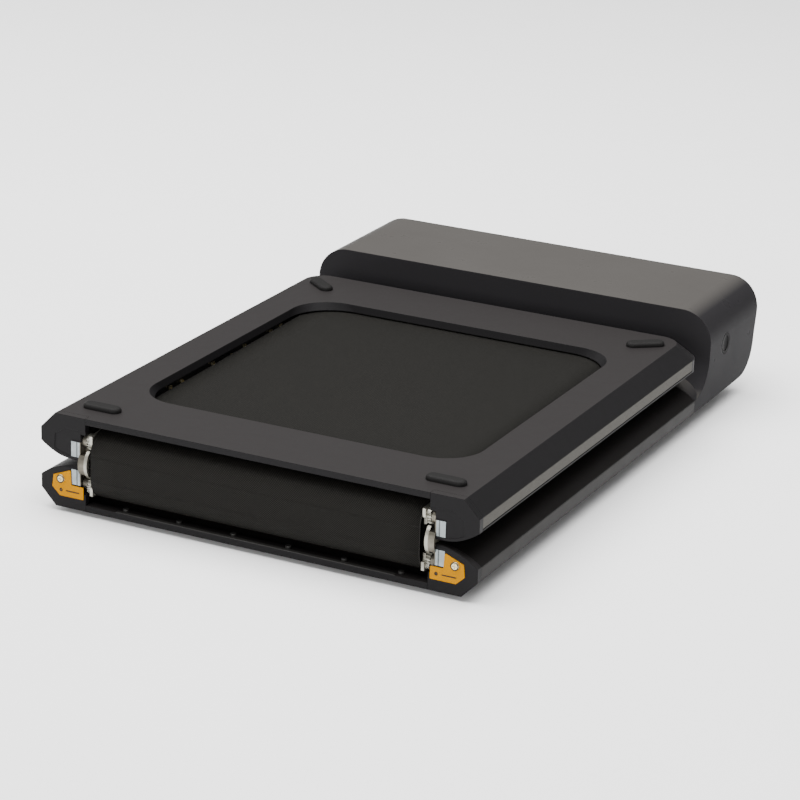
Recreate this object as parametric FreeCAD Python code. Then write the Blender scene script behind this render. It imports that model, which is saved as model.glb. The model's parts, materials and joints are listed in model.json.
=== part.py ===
import FreeCAD, Part
import math
import os

from FreeCAD import Vector

# Folding under-desk treadmill, shown folded. The front section lies walking side up and carries the motor
# housing at its far end. The rear section lies over it, walking side down, hinged at the near end.
# X runs across the belt, Y from the hinge end to the motor housing, Z up. Millimetres.

# Overall sizes
HALF_WIDTH = 259.0
COVER_HALF_WIDTH = 241.3
STACK_HEIGHT = 105.5
FOOT_HEIGHT = 5.5
FOOT_ROUNDING = 4.0
FRONT_RAIL_END = 582.0
REAR_LENGTH = 597.0
REAR_RAIL_END = 566.0
HOUSING_FACE = 622.0
HOUSING_BACK = 783.0
HOUSING_TOP = 127.0
BELT_BULGE = 4.0
COVE = (582.0, 74.0, 40.5)
HEEL = (728.0, 59.0, 40.0)
SHOULDER_RADIUS = 38.0
FAR_CORNER = 30.0
FAR_ROUNDING = 22.0

# Section profile, measured from the bottom cover's face
CHAMFER_TOP = 18.4
WALL_TOP = 33.5
CREST = 50.5
CREST_X = 210.0
CREST_RADIUS = 79.1
NOTCH_HALF = 203.6
SHELL = 3.0
SEAM = 0.3
CAP_DEPTH = 8.0
CAP_ROUNDING = 5.0
LIP_HEIGHT = 7.0
LIP_DEPTH = 14.0

# Belt and deck
BELT_HALF = 194.5
BELT_THICK = 2.0
DECK_LOW = 26.0
DECK_HIGH = 41.0
DECK_HALF = 207.5
DECK_START = 28.0
WRAP_CENTRE_Y = 20.0
WRAP_CENTRE_Z = 38.75
WRAP_RADIUS = 24.0
BRIDGE_OFFSET = 12.75

# Frame
BEAM_INNER = 209.0
BEAM_OUTER = 231.0
BEAM_LOW = 10.0
BEAM_HIGH = 36.0
BEAM_WALL = 2.0
BEAM_START = 26.5
TUBE_LOW = 16.8
TUBE_HIGH = 22.0
TUBE_WIDTH = 24.0
FRONT_BEAM_END = 628.0
REAR_BEAM_END = 574.0
FRONT_TUBES = (72.0, 330.0, 600.0)
REAR_TUBES = (72.0, 306.0, 520.0)
CUSHION_XS = (-150.0, 0.0, 150.0)
DECK_BOLT_X = 200.5

# Hinge
PIVOT_Y = 11.0
PIVOT_Z = 28.75
PIN_RADIUS = 4.0
RUNNING = 0.05
GEAR_TEETH = 16
GEAR_PITCH_RADIUS = 8.0
GEAR_TIP_RADIUS = 8.75
GEAR_ROOT_RADIUS = 6.95
GEAR_BACKLASH = 0.35
PRESSURE_ANGLE = math.radians(20)
INNER_PLATE = (195.3, 198.6)
GEAR_SPAN = (199.2, 203.4)
LINK_SPAN = (204.0, 209.5)
LEAF_SPAN = (210.0, 221.5)
HUB_RADIUS = 7.5
IDLER_PIN_RADIUS = 2.5
HINGE_FOOT = 19.0
NOSE_RADIUS = 10.5
LEAF_FACE_LOW = 28.2
LEAF_HIGH = 45.5
GUARD_SPAN = (200.0, 211.0)
GUARD_FRONT = -3.8
GUARD_HALF = 15.6
BELLY_HALF = 10.8

# Rollers, motor and wheels
DRIVE_ROLLER = (655.0, 25.5, 16.0)
REAR_ROLLER = (562.0, 26.5, 15.0)
ROLLER_HALF = 197.0
AXLE_RADIUS = 6.0
BEARING_WIDTH = 10.0
MOTOR = (725.0, 80.0, 35.0)
MOTOR_SPAN = (-130.0, 0.0)
MOTOR_SHAFT_RADIUS = 6.0
DRIVEN_PULLEY_RADIUS = 20.0
MOTOR_PULLEY_RADIUS = 8.0
PULLEY_SPAN = (-215.0, -203.0)
WHEEL = (725.0, 14.0, 17.0)
WHEEL_SPAN = (205.0, 225.0)
WHEEL_AXLE_RADIUS = 4.0
WELL_WALL = 2.0

# Opening in the rear section's bottom cover
OPENING_HALF = 196.5
OPENING_Y = (89.5, 491.0)
OPENING_RADIUS = 47.0
OPENING_FOOT_RADIUS = 56.0
OPENING_FLARE = 2.0
OPENING_DEPTH = 8.5
RIM_WALL = 4.0

# Button and power module
BUTTON = (672.5, 78.0, 13.0)
BUTTON_FACE_RADIUS = 9.0
POWER_X = (-204.7, -135.3)
POWER_Z = (66.3, 93.7)
POWER_FACE = 769.0
ROCKER_TILT = 7.0
ROCKER_PIVOT = (-150.0, 763.0, 80.0)

# Caution plates, end panels and screws
PANEL = [(NOTCH_HALF - 1, 15.5), (228.0, 14.9), (241.6, 22.8), (242.3, 39.9), (236.0, 43.0), (221.0, 46.5),
         (221.0, 27.0), (NOTCH_HALF - 1, 27.0)]
PANEL_DEPTH = 0.7
PLATE = [(222.0, 44.0), (243.5, 35.5), (245.0, 22.0), (235.5, 13.0),
         (206.0, 13.0), (206.0, 27.0), (221.0, 27.0)]
PLATE_THICK = 0.8
PLATE_SCREW = (234.0, 32.5)
SCREW_HEAD = 4.8
SCREW_SHANK = 2.0
TENSION_X = 203.0
TENSION_RADIUS = 3.0
BEAM_BOLT_YS = (181.0, 206.0, 275.0, 348.0, 409.0, 434.0)

Y_CENTRE = (HOUSING_BACK - BELT_BULGE) / 2
X_AXIS = Vector(1, 0, 0)
Y_AXIS = Vector(0, 1, 0)
Z_AXIS = Vector(0, 0, 1)
LONG = 2000.0


def box(x, y, z):
    """A box from (low, high) pairs."""
    corner = Vector(x[0], y[0], z[0])
    return Part.makeBox(x[1] - x[0], y[1] - y[0], z[1] - z[0], corner)


def rod_x(radius, x, y, z):
    """A cylinder along X over the (low, high) pair x."""
    return Part.makeCylinder(radius, x[1] - x[0], Vector(x[0], y, z), X_AXIS)


def rod_y(radius, x, y, z):
    return Part.makeCylinder(radius, y[1] - y[0], Vector(x, y[0], z), Y_AXIS)


def rod_z(radius, x, y, z):
    return Part.makeCylinder(radius, z[1] - z[0], Vector(x, y, z[0]), Z_AXIS)


def mirror_x(shape):
    return shape.mirror(Vector(0, 0, 0), X_AXIS)


def both_sides(shape):
    return [shape, mirror_x(shape)]


def flip(shape):
    """Carries a front-section piece to its place in the folded rear section."""
    return shape.mirror(Vector(0, 0, STACK_HEIGHT / 2), Z_AXIS)


def flip_all(shapes):
    return [flip(shape) for shape in shapes]


def prism_y(points, y):
    """A polygon of (x, z) points extruded along Y."""
    wire = Part.makePolygon([Vector(px, y[0], pz) for px, pz in points + points[:1]])
    return Part.Face(wire).extrude(Vector(0, y[1] - y[0], 0))


def prism_x(points, x):
    """A polygon of (y, z) points extruded along X."""
    wire = Part.makePolygon([Vector(x[0], py, pz) for py, pz in points + points[:1]])
    return Part.Face(wire).extrude(Vector(x[1] - x[0], 0, 0))


def prism_of(edges, direction):
    """A closed run of edges extruded by a vector."""
    return Part.Face(Part.Wire(edges)).extrude(direction)


def line(a, b):
    return Part.LineSegment(Vector(*a), Vector(*b)).toShape()


def arc(a, middle, b):
    return Part.Arc(Vector(*a), Vector(*middle), Vector(*b)).toShape()


def lines(points):
    """Straight edges through the points, left open."""
    return [line(a, b) for a, b in zip(points, points[1:])]


def fused(shapes):
    result = shapes[0]
    for shape in shapes[1:]:
        result = result.fuse(shape)
    return result.removeSplitter()


def rounded_box(x, y, z, radius):
    """A box with its vertical edges rounded."""
    solid = box(x, y, z)
    upright = [edge for edge in solid.Edges
               if edge.tangentAt(edge.FirstParameter).cross(Z_AXIS).Length < 0.01]
    return solid.makeFillet(radius, upright)


# Section shells

def crest_height(x, radius):
    """Height of the rail's crown at x."""
    return CREST - CREST_RADIUS + math.sqrt(radius ** 2 - (x - CREST_X) ** 2)


def crown_edge(radius, x_outer, y):
    """The rail's crown as an arc from x_outer in to the crest."""
    middle = (x_outer + CREST_X) / 2
    ends = [(px, y, crest_height(px, radius)) for px in (x_outer, middle, CREST_X)]
    return arc(*ends)


def section_end(y, inner_x):
    """Edges round one side of a section: cover, chamfer, wall, crown, inner edge."""
    crown = crown_edge(CREST_RADIUS, HALF_WIDTH, y)
    wall_top = crest_height(HALF_WIDTH, CREST_RADIUS)
    start = [(inner_x, y, 0), (COVER_HALF_WIDTH, y, 0),
             (HALF_WIDTH, y, CHAMFER_TOP), (HALF_WIDTH, y, wall_top)]
    close = [(CREST_X, y, CREST), (inner_x, y, CREST), (inner_x, y, 0)]
    return lines(start) + [crown] + lines(close)


def plan_wire(half, start, end, radius, z):
    """A plan outline, square at the hinge end and rounded at the far corners."""
    bend = radius * (1 - math.sqrt(0.5))
    left_arc = arc((-half, end - radius, z), (-half + bend, end - bend, z), (-half + radius, end, z))
    right_arc = arc((half - radius, end, z), (half - bend, end - bend, z), (half, end - radius, z))
    edges = [line((-half, start, z), (-half, end - radius, z)), left_arc]
    edges += [line((-half + radius, end, z), (half - radius, end, z)), right_arc]
    edges += lines([(half, end - radius, z), (half, start, z), (-half, start, z)])
    return Part.Wire(edges)


def tray(end, corner):
    """Bottom cover shell with a chamfered edge, from the hinge end to the wall's end."""
    run = HALF_WIDTH - COVER_HALF_WIDTH
    low = plan_wire(COVER_HALF_WIDTH, 0, end - run, corner, 0)
    high = plan_wire(HALF_WIDTH, 0, end, corner + 5, CHAMFER_TOP)
    outer = Part.makeLoft([low, high], True, True)
    thin = SHELL * run / CHAMFER_TOP
    inner_low = plan_wire(COVER_HALF_WIDTH - SHELL + thin, SHELL, end - run - SHELL + thin, corner, SHELL)
    inner_high = plan_wire(HALF_WIDTH - SHELL, SHELL, end - SHELL, corner + 3, CHAMFER_TOP + 1)
    inner = Part.makeLoft([inner_low, inner_high], True, True)
    shell = outer.cut(inner)
    end_wall = box((-LONG, LONG), (-1, SHELL + 1), (LIP_HEIGHT, LONG))
    shell = shell.cut(end_wall)
    for room in both_sides(box((NOTCH_HALF - SEAM, LONG), (-1, CAP_DEPTH + SEAM), (-1, LONG))):
        shell = shell.cut(room)
    lip = box((SEAM - NOTCH_HALF, NOTCH_HALF - SEAM), (0, LIP_DEPTH), (0, LIP_HEIGHT))
    return fused([shell, lip])


def bottom_wire(block):
    """The lowest horizontal outline of a block."""
    flat = [face for face in block.Faces if face.BoundBox.ZLength < 0.01]
    return min(flat, key=lambda face: face.BoundBox.ZMax).OuterWire


def rear_tray():
    """Bottom cover of the rear section, with its large opening and the deep rim round it."""
    rim = rounded_box((-OPENING_HALF - RIM_WALL, OPENING_HALF + RIM_WALL),
                      (OPENING_Y[0] - RIM_WALL, OPENING_Y[1] + RIM_WALL),
                      (0, OPENING_DEPTH), OPENING_RADIUS + RIM_WALL)
    outlines = []
    foot = OPENING_DEPTH + 0.01
    for margin, radius, z in ((OPENING_FLARE, OPENING_RADIUS, -0.01), (0.0, OPENING_FOOT_RADIUS, foot)):
        block = rounded_box((-OPENING_HALF - margin, OPENING_HALF + margin),
                            (OPENING_Y[0] - margin, OPENING_Y[1] + margin), (z, z + 1), radius)
        outlines.append(bottom_wire(block))
    cutter = Part.makeLoft(outlines, True, True)
    return fused([tray(REAR_LENGTH, 25.0), rim]).cut(cutter)


def front_tray():
    """Bottom cover of the front section, with the two wheel wells moulded in."""
    y, z, _ = WHEEL
    cover = fused([tray(y + 3, 8.0)] + [well.common(housing_block(0)) for well in both_sides(wheel_well())])
    for tool in both_sides(wheel_room()) + [rod_x(WHEEL_AXLE_RADIUS, (-LONG, LONG), y, z)]:
        cover = cover.cut(tool)
    return cover


def rail(end, wall_low):
    """Walking-side cover over one side beam: a crowned shell with a short inner wall."""
    y = CAP_DEPTH + SEAM
    inner_radius = CREST_RADIUS - SHELL
    thin = HALF_WIDTH - SHELL
    wall_high = crest_height(HALF_WIDTH, CREST_RADIUS)
    outer = lines([(thin, y, wall_low), (HALF_WIDTH, y, wall_low), (HALF_WIDTH, y, wall_high)])
    outer.append(crown_edge(CREST_RADIUS, HALF_WIDTH, y))
    inside_crest = CREST - SHELL
    edge_low = DECK_HIGH + BELT_THICK + 1
    inner = lines([(CREST_X, y, CREST), (NOTCH_HALF, y, CREST), (NOTCH_HALF, y, edge_low),
                   (NOTCH_HALF + SHELL, y, edge_low), (NOTCH_HALF + SHELL, y, inside_crest),
                   (CREST_X, y, inside_crest)])
    under = arc((CREST_X, y, inside_crest),
                ((CREST_X + thin) / 2, y, crest_height((CREST_X + thin) / 2, inner_radius)),
                (thin, y, crest_height(thin, inner_radius)))
    closing = line((thin, y, crest_height(thin, inner_radius)), (thin, y, wall_low))
    shell = prism_of(outer + inner + [under, closing], Vector(0, end - y, 0))
    return shell.cut(box((0, LINK_SPAN[1] + SEAM), (0, BEAM_START), (0, LONG)))


def side_trim(end, top):
    """The strip let into the section's side wall."""
    return box((HALF_WIDTH - SHELL, HALF_WIDTH), (CAP_DEPTH + SEAM, end), (CHAMFER_TOP + SEAM, top))


def end_cap():
    """Cap closing the hinge end of one side, open round the hinge."""
    cap = prism_of(section_end(0, NOTCH_HALF), Vector(0, CAP_DEPTH, 0))
    hinge_room = box((0, LEAF_SPAN[1] + SEAM), (-1, LONG), (LEAF_FACE_LOW - SEAM, LEAF_HIGH + 0.5))
    link_room = box((0, LINK_SPAN[1] + SEAM), (-1, LONG), (HINGE_FOOT, LONG))
    rounding = box((0, LONG), (-1, CAP_ROUNDING), (CREST - CAP_ROUNDING, LONG))
    rounding = rounding.cut(rod_x(CAP_ROUNDING, (0, LONG), CAP_ROUNDING, CREST - CAP_ROUNDING))
    pin_room = rod_x(PIN_RADIUS + SEAM, (0, LEAF_SPAN[1] + SEAM), PIVOT_Y, PIVOT_Z)
    for tool in (hinge_room, link_room, pin_room, rounding):
        cap = cap.cut(tool)
    return cap


def rear_end_cap_side():
    """Hinge-end cap of the rear section, with a shallow panel."""
    return end_cap().cut(prism_y(PANEL, (-1, PANEL_DEPTH)))


def front_end_cap():
    """Hinge-end cap of the front section, with the plate screw's hole."""
    return end_cap().cut(rod_y(SCREW_SHANK, PLATE_SCREW[0], (-1, CAP_DEPTH + 1), PLATE_SCREW[1]))


def caution_plate():
    plate = prism_y(PLATE, (-PLATE_THICK, 0))
    corners = [edge for edge in plate.Edges if edge.BoundBox.YLength > PLATE_THICK / 2]
    plate = plate.makeFillet(1.2, corners)
    return plate.cut(rod_y(SCREW_SHANK, PLATE_SCREW[0], (-2, 1), PLATE_SCREW[1]))


def plate_screw():
    """Round-headed cross screw that holds a caution plate."""
    x, z = PLATE_SCREW
    head = rod_y(SCREW_HEAD, x, (-PLATE_THICK - 1.6, -PLATE_THICK), z)
    front_rim = [edge for edge in head.Edges if edge.BoundBox.YMax < -PLATE_THICK - 1]
    head = head.makeFillet(1.0, front_rim)
    shank = rod_y(SCREW_SHANK, x, (-PLATE_THICK, CAP_DEPTH - 1), z)
    slot_depth = (-PLATE_THICK - 3, -PLATE_THICK - 0.7)
    slots = [box((x - 2.6, x + 2.6), slot_depth, (z - 0.5, z + 0.5)),
             box((x - 0.5, x + 0.5), slot_depth, (z - 2.6, z + 2.6))]
    return fused([head, shank]).cut(slots[0]).cut(slots[1])


# Frame, deck and belt

def side_beam(end):
    """Rectangular steel tube under a rail."""
    outer = box((BEAM_INNER, BEAM_OUTER), (BEAM_START, end), (BEAM_LOW, BEAM_HIGH))
    hollow = box((BEAM_INNER + BEAM_WALL, BEAM_OUTER - BEAM_WALL), (0, LONG),
                 (BEAM_LOW + BEAM_WALL, BEAM_HIGH - BEAM_WALL))
    return outer.cut(hollow)


def cross_tube(y):
    tube = box((-BEAM_INNER, BEAM_INNER), (y - TUBE_WIDTH / 2, y + TUBE_WIDTH / 2), (TUBE_LOW, TUBE_HIGH))
    for x in (-DECK_BOLT_X, DECK_BOLT_X):
        tube = tube.cut(rod_z(3.05, x, y, (0, LONG)))
    return tube


def frame(end, tubes):
    """Two side beams joined by flat cross tubes."""
    return both_sides(side_beam(end)) + [cross_tube(y) for y in tubes]


def deck(end, tubes):
    """Running deck, rounded at its hinge end, with holes for its bolts."""
    board = box((-DECK_HALF, DECK_HALF), (DECK_START, end), (DECK_LOW, DECK_HIGH))
    nose = [edge for edge in board.Edges
            if edge.BoundBox.XLength > DECK_HALF and edge.BoundBox.YMax < DECK_START + 1]
    board = board.makeFillet(4.0, nose)
    plate_room = box((INNER_PLATE[0] - SEAM, LONG), (0, 60), (0, TUBE_HIGH))
    for side in both_sides(plate_room):
        board = board.cut(side)
    for y in tubes:
        for x in (-DECK_BOLT_X, DECK_BOLT_X):
            board = board.cut(rod_z(3.3, x, y, (0, LONG)))
    return board


def deck_cushions(tubes):
    pads = []
    for y in tubes:
        for x in CUSHION_XS:
            pads.append(rod_z(10.0, x, y, (TUBE_HIGH, DECK_LOW)))
    return pads


def deck_bolt(x, y):
    head = rod_z(4.8, x, y, (DECK_HIGH, DECK_HIGH + 2.2))
    socket = rod_z(2.0, x, y, (DECK_HIGH + 0.9, DECK_HIGH + 3))
    return fused([head, rod_z(3.0, x, y, (TUBE_LOW, DECK_HIGH))]).cut(socket)


def deck_bolts(tubes):
    return [deck_bolt(x, y) for y in tubes for x in (-DECK_BOLT_X, DECK_BOLT_X)]


def beam_bolt(y):
    """Small cap screw in the beam's inner face."""
    head = rod_x(3.0, (BEAM_INNER - 2.5, BEAM_INNER), y, 20.5)
    return head.cut(rod_x(1.4, (0, BEAM_INNER - 1.2), y, 20.5))


def belt_loop(roller):
    """The belt's two runs in one section, from the hinge round the roller and back."""
    y_roller, z_roller, radius = roller
    low = WRAP_CENTRE_Z - WRAP_RADIUS
    end = WRAP_CENTRE_Y + SEAM
    slope = math.atan2(low - (z_roller - radius - BELT_THICK), y_roller - end)

    def on_roller(r, angle):
        return (-BELT_HALF, y_roller + r * math.cos(angle), z_roller + r * math.sin(angle))

    edges = []
    for r, z_end in ((radius + BELT_THICK, low), (radius, low + BELT_THICK)):
        top, side, bottom = on_roller(r, math.pi / 2), on_roller(r, 0), on_roller(r, -math.pi / 2 - slope)
        start = (-BELT_HALF, DECK_START, z_roller + r)
        finish = (-BELT_HALF, end, z_end)
        edges.append([line(start, top), arc(top, side, bottom), line(bottom, finish)])
    outer, inner = edges
    top_inner = (-BELT_HALF, DECK_START, z_roller + radius)
    top_outer = (-BELT_HALF, DECK_START, z_roller + radius + BELT_THICK)
    first = line(top_inner, top_outer)
    last = line((-BELT_HALF, end, low), (-BELT_HALF, end, low + BELT_THICK))
    ring = Part.Wire(Part.__sortEdges__(outer + inner + [first, last]))
    return Part.Face(ring).extrude(Vector(2 * BELT_HALF, 0, 0))


def belt_wrap():
    """The belt's outer run round the folded hinge."""
    y, low, high = WRAP_CENTRE_Y, WRAP_CENTRE_Z, STACK_HEIGHT - WRAP_CENTRE_Z
    diagonal = math.sqrt(0.5)

    def outline(r):
        return [arc((-BELT_HALF, y, low - r), (-BELT_HALF, y - r * diagonal, low - r * diagonal),
                    (-BELT_HALF, y - r, low)),
                line((-BELT_HALF, y - r, low), (-BELT_HALF, y - r, high)),
                arc((-BELT_HALF, y - r, high), (-BELT_HALF, y - r * diagonal, high + r * diagonal),
                    (-BELT_HALF, y, high + r))]

    inner_radius = WRAP_RADIUS - BELT_THICK
    ends = [line((-BELT_HALF, y, low - WRAP_RADIUS), (-BELT_HALF, y, low - inner_radius)),
            line((-BELT_HALF, y, high + WRAP_RADIUS), (-BELT_HALF, y, high + inner_radius))]
    ring = Part.Wire(Part.__sortEdges__(outline(WRAP_RADIUS) + outline(inner_radius) + ends))
    return Part.Face(ring).extrude(Vector(2 * BELT_HALF, 0, 0))


def belt_bridge():
    """The belt's inner strip between the two decks."""
    y = PIVOT_Y + BRIDGE_OFFSET
    return box((-BELT_HALF, BELT_HALF), (y, y + BELT_THICK), (PIVOT_Z, STACK_HEIGHT - PIVOT_Z))


# Hinge

def involute(angle):
    return math.tan(angle) - angle


def gear_outline(tooth_up):
    """Points of a spur gear about the origin; a tooth or a gap points along +Z."""
    base = GEAR_PITCH_RADIUS * math.cos(PRESSURE_ANGLE)
    pitch_half = math.pi / (2 * GEAR_TEETH) - GEAR_BACKLASH / (2 * GEAR_PITCH_RADIUS)
    steps = 4
    flank = [(GEAR_ROOT_RADIUS, pitch_half + involute(PRESSURE_ANGLE))]
    for step in range(steps + 1):
        radius = base + (GEAR_TIP_RADIUS - base) * step / steps
        half = pitch_half + involute(PRESSURE_ANGLE) - involute(math.acos(base / radius))
        flank.append((radius, half))
    offset = math.pi / 2 + (0 if tooth_up else math.pi / GEAR_TEETH)
    points = []
    for tooth in range(GEAR_TEETH):
        centre = offset + tooth * 2 * math.pi / GEAR_TEETH
        points += [(r, centre - half) for r, half in flank]
        points += [(r, centre + half) for r, half in reversed(flank)]
    return [(r * math.cos(angle), r * math.sin(angle)) for r, angle in points]


def gear(x, y, z, tooth_up, bore):
    """A spur gear on an axis along X."""
    teeth = prism_x([(y + py, z + pz) for py, pz in gear_outline(tooth_up)], x)
    return teeth.cut(rod_x(bore, (x[0] - 1, x[1] + 1), y, z))


def pivot_bore():
    return rod_x(PIN_RADIUS + RUNNING, (0, LONG), PIVOT_Y, PIVOT_Z)


def hinge_leaf():
    """Outer hinge plate: a block at the cap and a tang inside the side beam."""
    foot = HINGE_FOOT + 1
    block = box(LEAF_SPAN, (0.3, BEAM_START - SEAM), (foot, LEAF_HIGH))
    step = box((0, LONG), (-1, CAP_DEPTH + SEAM), (0, LEAF_FACE_LOW))
    tang = box((BEAM_INNER + 2.3, LEAF_SPAN[1] - 2), (BEAM_START - SEAM, 80), (foot, BEAM_HIGH - 4))
    groove = box((213.8, 214.2), (0, 0.9), (0, LONG))
    return fused([block.cut(step), tang]).cut(pivot_bore()).cut(groove)


def gear_plate(tooth_up):
    """Inner hinge plate with the section's fixed gear."""
    x = INNER_PLATE
    outline = [(0.5, 19.0), (60.0 - SEAM, 14.0), (60.0 - SEAM, TUBE_HIGH + 2), (26.0, 26.0), (26.0, 37.0),
               (4.0, 37.0), (4.0, 28.5), (0.5, 28.5)]
    plate = prism_x(outline, x)
    fixed = gear((x[1], GEAR_SPAN[1]), PIVOT_Y, PIVOT_Z, tooth_up, PIN_RADIUS)
    nose_x = (x[0], GEAR_SPAN[1])
    nose = box(nose_x, (0, PIVOT_Y), (HINGE_FOOT, PIVOT_Z - 1.5))
    nose = nose.common(rod_x(NOSE_RADIUS, nose_x, PIVOT_Y, PIVOT_Z))
    nose = nose.cut(rod_x(GEAR_TIP_RADIUS + 0.35, nose_x, PIVOT_Y - 2 * GEAR_PITCH_RADIUS, PIVOT_Z))
    return fused([plate, nose, fixed]).cut(pivot_bore())


def link_outline():
    """Hubs, spine and swollen middle of a link plate, as solids over LINK_SPAN."""
    high = STACK_HEIGHT - PIVOT_Z
    middle = STACK_HEIGHT / 2
    hubs = [rod_x(HUB_RADIUS, LINK_SPAN, PIVOT_Y, z) for z in (PIVOT_Z, high)]
    spine = box(LINK_SPAN, (9.6, PIVOT_Y + HUB_RADIUS), (PIVOT_Z, high))
    belly = box(LINK_SPAN, (1.0, 12.0), (middle - BELLY_HALF, middle + BELLY_HALF))
    return hubs + [spine, belly]


def link_guard():
    """Curved guard in front of the idler gears."""
    x = GUARD_SPAN[0]
    middle = STACK_HEIGHT / 2
    low, high = middle - GUARD_HALF, middle + GUARD_HALF
    tip, inside = 4.2, 1.5
    outer = arc((x, tip, low), (x, GUARD_FRONT, middle), (x, tip, high))
    inner = lines([(x, tip, high), (x, inside, middle + BELLY_HALF), (x, inside, middle - BELLY_HALF),
                   (x, tip, low)])
    guard = prism_of([outer] + inner, Vector(GUARD_SPAN[1] - x, 0, 0))
    guard = guard.cut(box((LINK_SPAN[0], LONG), (-LONG, LONG), (0, middle - BELLY_HALF)))
    guard = guard.cut(box((LINK_SPAN[0], LONG), (-LONG, LONG), (middle + BELLY_HALF, LONG)))
    return guard.cut(box((LINK_SPAN[1], LONG), (-0.5, LONG), (0, LONG)))


def idler_heights():
    return (PIVOT_Z + 2 * GEAR_PITCH_RADIUS, PIVOT_Z + 4 * GEAR_PITCH_RADIUS)


def link_plate():
    """Link between the two pivots, with the idler pins riveted in."""
    pins = [rod_x(IDLER_PIN_RADIUS, (GEAR_SPAN[0], LINK_SPAN[0]), PIVOT_Y, z) for z in idler_heights()]
    body = fused(link_outline() + [link_guard()] + pins)
    for z in (PIVOT_Z, STACK_HEIGHT - PIVOT_Z):
        body = body.cut(rod_x(PIN_RADIUS, (0, LONG), PIVOT_Y, z))
    return body


def hinge_pin(z):
    return rod_x(PIN_RADIUS, (INNER_PLATE[0] - SEAM, LEAF_SPAN[1]), PIVOT_Y, z)


def hinge_pins():
    pins = []
    for z in (PIVOT_Z, STACK_HEIGHT - PIVOT_Z):
        pins += both_sides(hinge_pin(z))
    return pins


def idler(z, tooth_up):
    span = (GEAR_SPAN[0] + 0.1, GEAR_SPAN[1] - 0.1)
    return gear(span, PIVOT_Y, z, tooth_up, IDLER_PIN_RADIUS + RUNNING)


# Motor housing

def housing_wire(inset, start_y, low, x):
    """Side outline of the motor housing: fillet, face, top, leaning back and rounded heel."""
    centre_y, centre_z, radius = COVE[0], COVE[1], COVE[2] + inset
    face_top = HOUSING_FACE + 1.6 + inset
    top = HOUSING_TOP - inset
    back = HOUSING_BACK - inset
    heel_y, heel_z, heel = HEEL[0], HEEL[1], HEEL[2] - inset
    fillet_foot = centre_z - math.sqrt(radius ** 2 - (start_y - centre_y) ** 2)
    foot_angle = math.atan2(fillet_foot - centre_z, start_y - centre_y)
    sweep = foot_angle / 2
    diagonal = math.sqrt(0.5)
    edges = [arc((x, start_y, fillet_foot),
                 (x, centre_y + radius * math.cos(sweep), centre_z + radius * math.sin(sweep)),
                 (x, centre_y + radius, centre_z))]
    edges += lines([(x, centre_y + radius, centre_z), (x, face_top, top), (x, back, top),
                    (x, heel_y + heel, heel_z)])
    edges.append(arc((x, heel_y + heel, heel_z), (x, heel_y + heel * diagonal, heel_z - heel * diagonal),
                     (x, heel_y, heel_z - heel)))
    edges += lines([(x, heel_y, heel_z - heel), (x, heel_y, low), (x, start_y, low),
                    (x, start_y, fillet_foot)])
    return edges


def housing_block(inset):
    """Solid bounded by the housing's outline from the side and from the front."""
    start = FRONT_RAIL_END + (14.5 if inset else 0)
    low = -1.0
    half = HALF_WIDTH - inset
    side = prism_of(housing_wire(inset, start, low, -half), Vector(2 * half, 0, 0))
    upright = box((-half, half), (0, LONG), (-2, HOUSING_TOP - inset))
    along = [edge for edge in upright.Edges if edge.BoundBox.YLength > LONG / 2 and edge.BoundBox.ZMin > 0]
    upright = upright.makeFillet(SHOULDER_RADIUS - inset, along)
    return side.common(upright)


def wheel_well():
    """Outer block of a wheel well."""
    return box((WHEEL_SPAN[0] - 4 - WELL_WALL, WHEEL_SPAN[1] + 4 + WELL_WALL), (704, 750), (0, 38))


def wheel_room():
    """Inner space of a wheel well, open below and behind."""
    return box((WHEEL_SPAN[0] - 4, WHEEL_SPAN[1] + 4), (704 + WELL_WALL, 760), (-5, 38 - WELL_WALL))


def motor_cover():
    """Tall cover over the motor, open underneath, with a slot for the belt."""
    y = (FRONT_RAIL_END, HOUSING_FACE + 8)
    shoulders = both_sides(prism_of(section_end(y[0], NOTCH_HALF), Vector(0, y[1] - y[0], 0)))
    shell = fused([housing_block(0)] + shoulders).cut(housing_block(SHELL))
    low_cut = box((-LONG, LONG), (0, WHEEL[0] + 3), (-LONG, CHAMFER_TOP + SEAM))
    shell = shell.cut(low_cut)
    slot = box((-NOTCH_HALF, NOTCH_HALF), y, (-LONG, CREST))
    shell = shell.cut(slot)
    inner = crest_height(HALF_WIDTH - SHELL, CREST_RADIUS - SHELL)
    tunnel_edges = lines([(NOTCH_HALF - 1, y[0], CREST - SHELL), (NOTCH_HALF - 1, y[0], 0),
                          (HALF_WIDTH - SHELL, y[0], 0), (HALF_WIDTH - SHELL, y[0], inner)])
    tunnel_edges.append(crown_under(y[0]))
    tunnel_edges.append(line((CREST_X, y[0], CREST - SHELL), (NOTCH_HALF - 1, y[0], CREST - SHELL)))
    tunnel = prism_of(tunnel_edges, Vector(0, y[1] - y[0] + 1, 0))
    for side in both_sides(tunnel):
        shell = shell.cut(side)
    for well in both_sides(wheel_well()):
        shell = shell.cut(well)
    y_button, z_button, radius = BUTTON
    shell = shell.cut(rod_x(radius, (HALF_WIDTH - 10, HALF_WIDTH + 10), y_button, z_button))
    return shell.cut(box(POWER_X, (POWER_FACE - 10, LONG), POWER_Z))


def crown_under(y):
    radius = CREST_RADIUS - SHELL
    outer = HALF_WIDTH - SHELL
    middle = (outer + CREST_X) / 2
    return arc((outer, y, crest_height(outer, radius)), (middle, y, crest_height(middle, radius)),
               (CREST_X, y, CREST - SHELL))


# Rollers and drive

def roller_axle(roller, x):
    y, z, _ = roller
    return rod_x(AXLE_RADIUS, x, y, z)


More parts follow.
